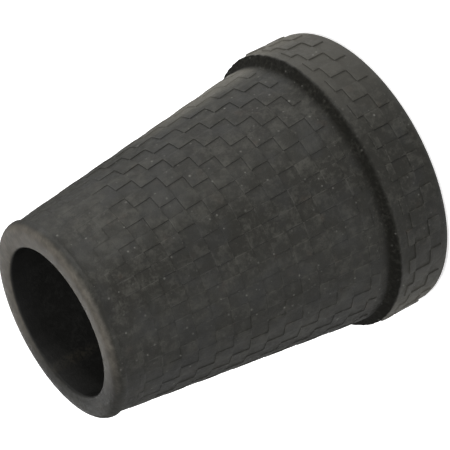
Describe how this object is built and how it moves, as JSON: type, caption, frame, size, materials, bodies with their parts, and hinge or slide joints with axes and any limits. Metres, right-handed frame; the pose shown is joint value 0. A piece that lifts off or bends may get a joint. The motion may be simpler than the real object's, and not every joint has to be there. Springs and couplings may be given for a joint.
{
  "type": "cane tip",
  "caption": "Tapered rubber cane tip with a blind bore for the shaft, a rolled lip, a check relief on its outside and a round base flange.",
  "frame": {"origin": "centre of the sole, on the bore axis", "axes": "+Z along the bore axis, from the sole to the mouth; the tip stands on its sole. X and Y are equal, because the part is turned round Z"},
  "size_m": [0.0366, 0.0366, 0.0444],
  "materials": {
    "black_rubber": "black moulded rubber, matte with a soft sheen, moulded check relief on the taper and on the flange wall"
  },
  "bodies": {
    "root": {"cane_tip": "black_rubber"}
  },
  "joints": []
}
